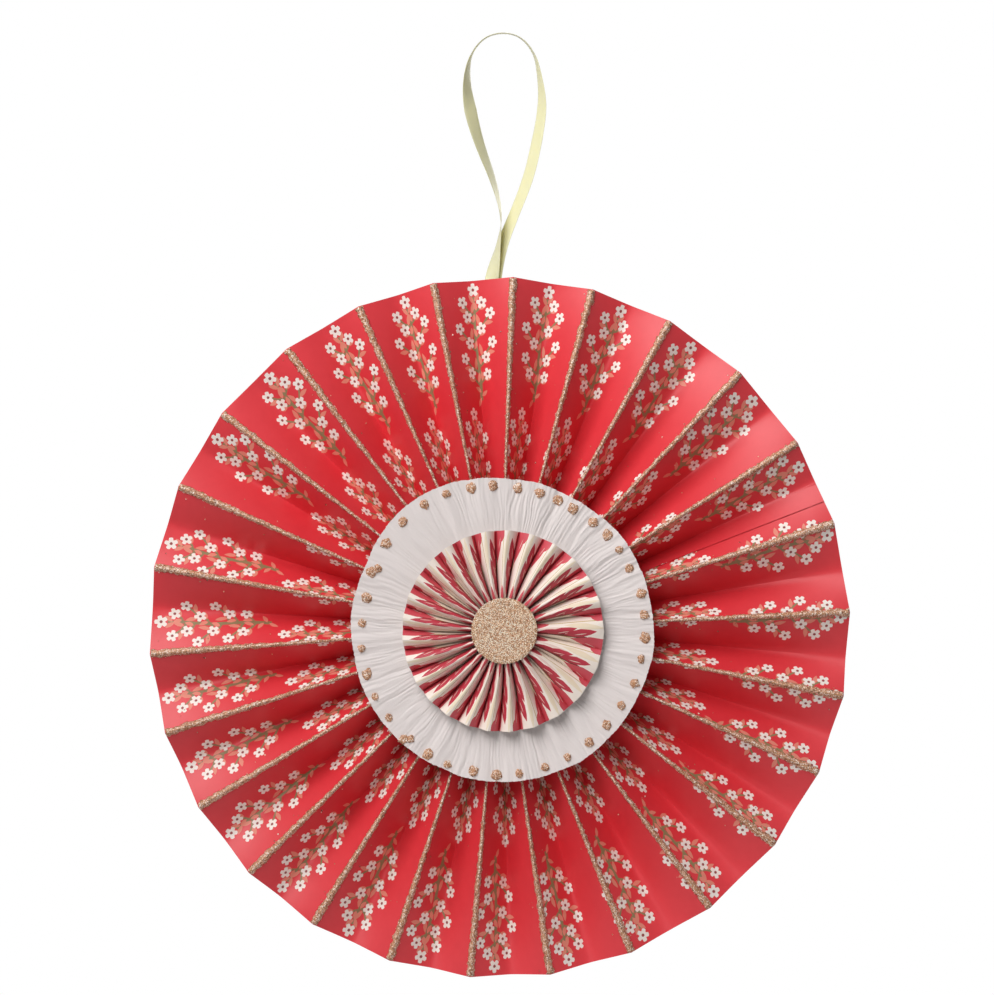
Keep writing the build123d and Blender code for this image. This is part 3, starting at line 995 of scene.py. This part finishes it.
def tube(points, faces, coated, rings, marks):
    """Adds a closed tube through rings of points. marks says which of a ring's points are
    coated with glitter, where that matters."""
    first, count = len(points), len(rings[0])
    for ring in rings:
        points += ring
        coated += marks
    for i in range(len(rings) - 1):
        for k in range(count):
            a, b = first + i * count + k, first + i * count + (k + 1) % count
            faces.append((a, b, b + count, a + count))
    faces.append(tuple(range(first + count - 1, first - 1, -1)))
    faces.append(tuple(range(len(points) - count, len(points))))


# The lines of glitter glue, in mm: they run from under the ruffle's edge nearly to the rim
RIDGES = LONG_FOLDS[1::2] + SHORT_FOLDS[2::2]
LINE_START = 58.2
LINE_END = OUTER_RADIUS - 0.5
LINE_STEP = 0.9
LINE_WIDTHS = (0.9, 3.5)
# A line's section: how far off its middle, as a share of that side's half width, its height,
# and which of its points are coated
LINE_SECTION = (
    (-1, -0.15), (-0.85, 0.5), (-0.45, 1.1), (0, 1.35), (0.45, 1.1), (0.85, 0.5), (1, -0.15), (0, 0.1),
)
LINE_COATED = [0, 1, 1, 1, 1, 1, 0, 0]
# How far a line's middle and its edges stray, as shares of its width, and over what length
LINE_SWAY, LINE_SWAY_LENGTH = 0.12, 2.2
EDGE_SWAY, EDGE_SWAY_LENGTH = 0.45, 1.3
# Where a line hangs over the rim, it lies as high as the paper does this far in
RIM_STEP = 1.5
# Crumbs that fell on the paper: how many beside each line, between which reaches, how far
# they strayed, how large they are, and how high their feet and tops are, in mm
SPILT_CRUMBS = 15
SPILT_REACHES = (70, OUTER_RADIUS - 2)
SPILT_STRAY = 3.4
SPILT_SIZES = (0.2, 0.42)
SPILT_FOOT, SPILT_TOP = 0.05, 0.35


def spill(points, faces, coated, level_at, angle, random):
    """A crumb that fell on the paper beside its line: a small closed pyramid."""
    reach = random.uniform(*SPILT_REACHES)
    turn = angle + degrees(random.gauss(0, SPILT_STRAY) / reach)
    level, size = level_at(turn, reach), random.uniform(*SPILT_SIZES)
    first = len(points)
    foot = around(turn, reach, level + SPILT_FOOT)
    points += [foot + around(corner * 120 + reach * 40, size, 0) for corner in range(3)]
    points.append(around(turn, reach, level + SPILT_TOP))
    coated += [1] * 4
    faces += [[first + i for i in face] for face in ((0, 1, 2), (1, 0, 3), (2, 1, 3), (0, 2, 3))]


def make_fold_glitter(level_at):
    """A line of glitter glue along each front fold. It was run by hand, so its edges wander
    and it is thicker in places, and some crumbs fell beside it."""
    points, faces, coated = [], [], []
    random = Random(8)
    steps = int((LINE_END - LINE_START) / LINE_STEP)
    for angle in RIDGES:
        for crumb in range(SPILT_CRUMBS):
            spill(points, faces, coated, level_at, angle, random)
        rings = []
        for i in range(steps + 1):
            reach = LINE_START + (LINE_END - LINE_START) * i / steps
            width = between(*LINE_WIDTHS, i / steps)
            sway = LINE_SWAY * width * noise.noise(Vector((reach / LINE_SWAY_LENGTH, angle, 0)))
            sways = [noise.noise(Vector((reach / EDGE_SWAY_LENGTH, angle, side))) for side in (5, 9)]
            left, right = (width / 2 * (1 + EDGE_SWAY * by) for by in sways)
            ring = []
            for share, lift in LINE_SECTION:
                turn = angle + degrees((share * (left if share < 0 else right) + sway) / reach)
                level = (
                    level_at(turn, reach)
                    or level_at(turn, reach - RIM_STEP)
                    or level_at(angle, reach - RIM_STEP)
                )
                ring.append(around(turn, reach, level + lift))
            rings.append(ring)
        tube(points, faces, coated, rings, LINE_COATED)
    piece = new_piece("fold_glitter_lines", points, faces, [GLUE])
    strew(
        piece, coated, GLITTER_GRAIN, "copper_glitter_glue", "fold_glitter",
        Crumb_size=0.42 * MM, Crumbs_per_area=2.95 / MM**2, Lump_height=0.12 * MM,
        Lump_size=0.9 * MM, Tilt=radians(12), Seed=3,
    )


# The dots as the photograph shows them: each one's clock angle and reach. Two are double
DOT_PLACES = (
    (7.6, 60.0), (16.6, 60.1), (24.6, 59.9), (31.6, 59.8), (41.6, 60.2), (49.2, 60.8), (56.8, 60.9),
    (65.4, 60.7), (76.4, 62.0), (84.8, 61.9), (93.8, 62.1), (102.3, 61.7), (112.4, 62.2),
    (122.4, 61.4), (132.1, 61.4), (141.9, 61.8), (152.2, 62.2), (161.9, 62.3), (172.4, 62.5),
    (181.3, 62.4), (190.6, 62.0), (200.9, 62.2), (209.6, 61.8), (218.8, 60.6), (220.8, 62.6),
    (231.0, 60.7), (241.2, 60.5), (250.8, 59.7), (261.6, 59.4), (272.0, 58.7), (282.8, 58.2),
    (293.6, 59.6), (295.8, 57.8), (306.7, 60.3), (317.6, 61.2), (328.7, 61.7), (338.3, 61.5),
    (348.5, 61.1), (357.4, 60.8),
)
# Each dot's size, as shares of the radius, how far it is out of round, and its section from
# the foot of its edge to its top: shares of its reach and levels in mm
DOT_RADIUS = 1.95
DOT_SIZES = (0.84, 1.22)
DOT_UNEVENNESS = 0.42
DOT_SIDES = 16
DOT_SECTION = ((0.8, -0.1), (1.0, -0.06), (0.93, 0.35), (0.7, 0.62), (0.35, 0.78), (0.05, 0.82))


def make_dots(level_at):
    """Dots of the same glue near the ruffle's edge, each a little out of round."""
    points, faces, coated = [], [], []
    random = Random(5)
    for number, (angle, reach) in enumerate(DOT_PLACES):
        middle = around(angle, reach, 0)
        size = DOT_RADIUS * random.uniform(*DOT_SIZES)
        ways = [k * 2 * pi / DOT_SIDES for k in range(DOT_SIDES)]
        reaches = []
        for way in ways:
            spot = Vector((1.3 * cos(way), 1.3 * sin(way), number * 7))
            reaches.append(size * (1 + DOT_UNEVENNESS * noise.noise(spot)))
        rings = []
        for share, lift in DOT_SECTION:
            ring = []
            for way, wide in zip(ways, reaches):
                spot = middle + Vector((cos(way), 0, sin(way))) * wide * share * MM
                turn, out = degrees(atan2(spot.x, spot.z)), hypot(spot.x, spot.z) / MM
                level = level_at(turn, out) or level_at(angle, reach)
                ring.append(around(turn, out, level + lift))
            rings.append(ring)
        first = len(points)
        tube(points, faces, coated, rings, [1] * DOT_SIDES)
        coated[first : first + 2 * DOT_SIDES] = [0] * (2 * DOT_SIDES)  # its foot
    piece = new_piece("crepe_glitter_dot_group", points, faces, [GLUE])
    strew(
        piece, coated, GLITTER_GRAIN, "copper_glitter_glue", "crepe_glitter_dots",
        Crumb_size=0.4 * MM, Crumbs_per_area=3.6 / MM**2, Lump_height=0.14 * MM,
        Lump_size=0.8 * MM, Tilt=radians(34), Seed=4,
    )


# The disc's outline from the middle of its back to the middle of its face: reach and level
DISC_RADIUS = 14.0
DISC_BACK, DISC_FACE = 29.73, 30.28
DISC_SIDES = 60
DISC_SECTION = (
    (4, DISC_BACK), (12, DISC_BACK), (13.7, DISC_BACK), (DISC_RADIUS, DISC_BACK + 0.1),
    (DISC_RADIUS, DISC_FACE - 0.15), (13.85, DISC_FACE), (12, DISC_FACE), (10, DISC_FACE),
    (8, DISC_FACE), (6, DISC_FACE), (4, DISC_FACE), (2, DISC_FACE), (0.2, DISC_FACE),
)


def make_centre_disc():
    """A punched disc of glitter card over the inner fan's eye."""
    points, faces, coated = [], [], []
    rings = [
        [around(-k * 360 / DISC_SIDES, reach, level) for k in range(DISC_SIDES)]
        for reach, level in DISC_SECTION
    ]
    tube(points, faces, coated, rings, [1] * DISC_SIDES)
    coated[: 4 * DISC_SIDES] = [0] * (4 * DISC_SIDES)  # the back, which is bare card
    piece = new_piece("glitter_card_disc", points, faces, [GLUE])
    strew(
        piece, coated, PALE_GRAIN, "glitter_card", "centre_disc",
        Crumb_size=0.34 * MM, Crumbs_per_area=9.0 / MM**2, Lump_height=0.05 * MM,
        Lump_size=1.2 * MM, Tilt=radians(30), Seed=6,
    )


# The ruffle's values for its tree, in metres and radians, and its counts of points
RUFFLE = {
    "Eye radius": 12.0 * MM,
    "Edge radius": 64.3 * MM,
    "Eye level": 21.0 * MM,
    "Edge level": 23.4 * MM,
    "Gather height": 1.5 * MM,
    "Crimp height": 0.7 * MM,
    "Edge wander": 1.5 * MM,
    "Edge tooth": 0.35 * MM,
    "Bulge": 2.9 * MM,
    "Bulge way": radians(-31),
    "Around": 1300,
    "Across": 30,
}
CREPE_THICKNESS = 0.16 * MM
CREPE_SHARPNESS = radians(60)


def ruffle_tree():
    """A disc of crepe paper, drawn up round its eye. Fine crimps run out from the eye all
    the way round, broader gathers lift its edge at uneven steps, and the edge was cut with
    a fine tooth. A ripple is noise round the ring, from -1 to 1: it follows a turn, and has
    its waves to a radian, its waves from the eye to the edge, its detail and its own start."""
    others = {"Around": "Int", "Across": "Int", "Paper": "Material"}
    numbers = [name for name in RUFFLE if name not in others]
    tree, given, result = new_tree("gathered_ruffle", numbers, others)
    sheet = add_node(
        tree, "GeometryNodeMeshGrid",
        {"Size X": 2 * pi, "Size Y": 1.0, "Vertices X": given["Around"], "Vertices Y": given["Across"]},
    )
    place = add_node(tree, "GeometryNodeInputPosition")
    flat = add_node(tree, "ShaderNodeSeparateXYZ", {0: place}).node
    sums = {name: given[name] for name in RUFFLE}
    sums["turn"] = flat.outputs["X"]
    sums["half out"] = flat.outputs["Y"]

    for label, operation, *values in (
        ("out", "ADD", "half out", 0.5),
        ("spread", "SUBTRACT", "Edge radius", "Eye radius"),
        ("wander", "RIPPLE", "turn", 3.2, 0.0, 3.0, 3.0),
        ("tooth", "RIPPLE", "turn", 60.0, 0.0, 1.0, 8.0),
        ("gather", "RIPPLE", "turn", 7.0, 0.5, 1.0, 15.0),
        ("bend", "RIPPLE", "turn", 5.0, 3.0, 2.0, 41.0),
        ("bent turn", "MULTIPLY_ADD", "bend", 0.07, "turn"),
        ("crimp", "RIPPLE", "bent turn", 46.0, 2.5, 2.0, 21.0),
        ("patch", "RIPPLE", "turn", 3.0, 1.5, 1.0, 31.0),
        ("plain reach", "MULTIPLY_ADD", "spread", "out", "Eye radius"),
        ("far out", "POWER", "out", 2.0),
        ("from bulge", "SUBTRACT", "turn", "Bulge way"),
        ("cos from bulge", "COSINE", "from bulge"),
        ("near bulge", "MULTIPLY_ADD", "cos from bulge", 0.5, 0.5),
        ("at bulge", "POWER", "near bulge", 18.0),
        ("bulging", "MULTIPLY", "at bulge", "Bulge"),
        ("wandering", "MULTIPLY_ADD", "wander", "Edge wander", "bulging"),
        ("toothed", "MULTIPLY_ADD", "tooth", "Edge tooth", "wandering"),
        ("reach", "MULTIPLY_ADD", "toothed", "far out", "plain reach"),
        ("climb", "SUBTRACT", "Edge level", "Eye level"),
        ("plain level", "MULTIPLY_ADD", "climb", "out", "Eye level"),
        ("gathered", "MULTIPLY", "gather", "Gather height"),
        ("past fan", "SUBTRACT", "out", 0.45),
        ("slack", "MULTIPLY", "past fan", 5.0),
        ("some slack", "MAXIMUM", "slack", 0.1),
        ("free", "MINIMUM", "some slack", 1.0),
        ("free out", "MULTIPLY", "free", "out"),
        ("gathers", "MULTIPLY", "gathered", "free out"),
        ("patched", "MULTIPLY_ADD", "patch", 0.9, 0.85),
        ("crimp share", "MULTIPLY", "patched", "free"),
        ("crimped", "MULTIPLY", "crimp", "Crimp height"),
        ("crimps", "MULTIPLY", "crimped", "crimp share"),
        ("with gathers", "ADD", "plain level", "gathers"),
        ("level", "ADD", "with gathers", "crimps"),
        ("backward", "MULTIPLY", "level", -1.0),
        ("right", "SINE", "turn"),
        ("up", "COSINE", "turn"),
        ("x", "MULTIPLY", "reach", "right"),
        ("z", "MULTIPLY", "reach", "up"),
    ):
        if operation != "RIPPLE":
            inputs = {i: sums.get(value, value) for i, value in enumerate(values)}
            sums[label] = add_node(tree, "ShaderNodeMath", inputs, operation=operation)
            continue
        turn, waves_round, waves_out, detail, shift = values
        right = add_node(tree, "ShaderNodeMath", {0: sums[turn]}, operation="COSINE")
        up = add_node(tree, "ShaderNodeMath", {0: sums[turn]}, operation="SINE")
        spot = add_node(tree, "ShaderNodeCombineXYZ", {0: right, 1: up, 2: sums["out"]})
        scales, start = (waves_round, waves_round, waves_out), (0, 0, shift)
        place = add_node(
            tree, "ShaderNodeVectorMath", {0: spot, 1: scales, 2: start}, operation="MULTIPLY_ADD"
        )
        wave = add_node(
            tree, "ShaderNodeTexNoise", {"Vector": place, "Scale": 1.0, "Detail": detail}
        )
        inputs = {0: wave, 1: 2.0, 2: -1.0}
        sums[label] = add_node(tree, "ShaderNodeMath", inputs, operation="MULTIPLY_ADD")
    spot = add_node(tree, "ShaderNodeCombineXYZ", {0: sums["x"], 1: sums["backward"], 2: sums["z"]})
    shaped = add_node(tree, "GeometryNodeSetPosition", {"Geometry": sheet, "Position": spot})
    closed = add_node(tree, "GeometryNodeMergeByDistance", {"Geometry": shaped, "Distance": WELD})
    smooth = add_node(tree, "GeometryNodeSetShadeSmooth", {"Geometry": closed})
    real = add_node(tree, "GeometryNodeRealizeInstances", {"Geometry": smooth})
    papered = add_node(tree, "GeometryNodeSetMaterial", {"Geometry": real, "Material": given["Paper"]})
    tree.links.new(papered, result[0])
    return tree


def make_ruffle():
    piece = new_piece("crepe_paper_ruffle", [], [])
    run_tree(piece, ruffle_tree(), RUFFLE | {"Paper": CREPE})
    thick = piece.modifiers.new("thickness", "SOLIDIFY")
    thick.thickness = CREPE_THICKNESS
    thick.offset = 0
    made_plain(piece)
    piece.data.set_sharp_from_angle(angle=CREPE_SHARPNESS)
    finished(piece, "crepe_ruffle")
    return piece


# The stage and the lights. The key hangs near enough to light the top more than the bottom.
KEY_WAY = Vector((-0.31, -0.65, 0.67))
KEY_DISTANCE = 1250 * MM
KEY_AIM = Vector((1200, 0, 450)) * MM
KEY_LEVEL = 1.17
BACK_WAY = Vector((0.45, 0.75, 0.5))
BACK_DISTANCE = 2200 * MM
BACK_LEVEL = 0.6
LAMP_SPREAD = 0.8
SKY_LEVEL = 0.14
# The floor lies below the medallion. What the camera sees of it is mostly its own glow, so
# that it is nearly white and keeps a soft shadow
FLOOR_COLOUR = "#DADADA"
FLOOR_GLOW = 0.8
FLOOR_HALF = 340 * MM
FLOOR_LEVEL = -200 * MM


def add_lamp(name, way, distance, level, aim=Vector((0, 0, 0))):
    """A square soft box. level is about how bright it makes a white sheet that faces it,
    where 1 is white."""
    data = bpy.data.lights.new(name, "AREA")
    data.size = distance * LAMP_SPREAD
    data.energy = level * pi * pi * distance**2
    lamp = bpy.data.objects.new(name, data)
    lamp.location = way.normalized() * distance
    lamp.rotation_euler = (aim - lamp.location).to_track_quat("-Z", "Y").to_euler()
    bpy.context.scene.collection.objects.link(lamp)


def seen_way(tree):
    """One where the camera looks, or a mirror or glass shows it, and zero for other light."""
    path = add_node(tree, "ShaderNodeLightPath").node.outputs
    seen = path["Is Camera Ray"]
    for kind in ("Is Glossy Ray", "Is Transmission Ray"):
        seen = add_node(tree, "ShaderNodeMath", {0: seen, 1: path[kind]}, operation="MAXIMUM")
    return seen


def make_stage():
    """A plain white studio: a pale floor that keeps a soft shadow, and white beyond it."""
    world = bpy.data.worlds.new("studio")
    bpy.context.scene.world = world
    world.use_nodes = True
    tree = world.node_tree
    tree.nodes.clear()
    sky = add_node(tree, "ShaderNodeBackground", {"Strength": SKY_LEVEL})
    white = add_node(tree, "ShaderNodeBackground", {"Strength": 1.0})
    for socket in (sky, white):
        socket.node.inputs["Color"].default_value = (1, 1, 1, 1)
    mixed = add_node(tree, "ShaderNodeMixShader", {0: seen_way(tree), 1: sky, 2: white})
    add_node(tree, "ShaderNodeOutputWorld", {"Surface": mixed})

    material = bpy.data.materials.new("studio_floor")
    material.use_nodes = True
    tree = material.node_tree
    tree.nodes.clear()
    matt = add_node(tree, "ShaderNodeBsdfDiffuse", {"Color": linear(FLOOR_COLOUR)})
    glow = add_node(tree, "ShaderNodeEmission", {"Strength": 1.0})
    share = add_node(tree, "ShaderNodeMath", {0: seen_way(tree), 1: FLOOR_GLOW}, operation="MULTIPLY")
    mixed = add_node(tree, "ShaderNodeMixShader", {0: share, 1: matt, 2: glow})
    add_node(tree, "ShaderNodeOutputMaterial", {"Surface": mixed})
    half, level = FLOOR_HALF, FLOOR_LEVEL
    floor = new_piece(
        "studio_floor",
        [(-half, -half, level), (half, -half, level), (half, half, level), (-half, half, level)],
        [(0, 1, 2, 3)],
        [material],
    )
    add_lamp("key_lamp", KEY_WAY, KEY_DISTANCE, KEY_LEVEL, KEY_AIM)
    add_lamp("back_lamp", BACK_WAY, BACK_DISTANCE, BACK_LEVEL)


make_camera()
make_stage()
make_ribbon()
make_fold_glitter(surfaces_under(make_fans()))
ruffle = make_ruffle()
make_dots(surfaces_under((ruffle,)))
make_centre_disc()
back_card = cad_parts["back_disc"].data
back_card.materials.clear()
back_card.materials.append(WHITE_CARD)

bpy.context.scene.view_settings.view_transform = "Standard"
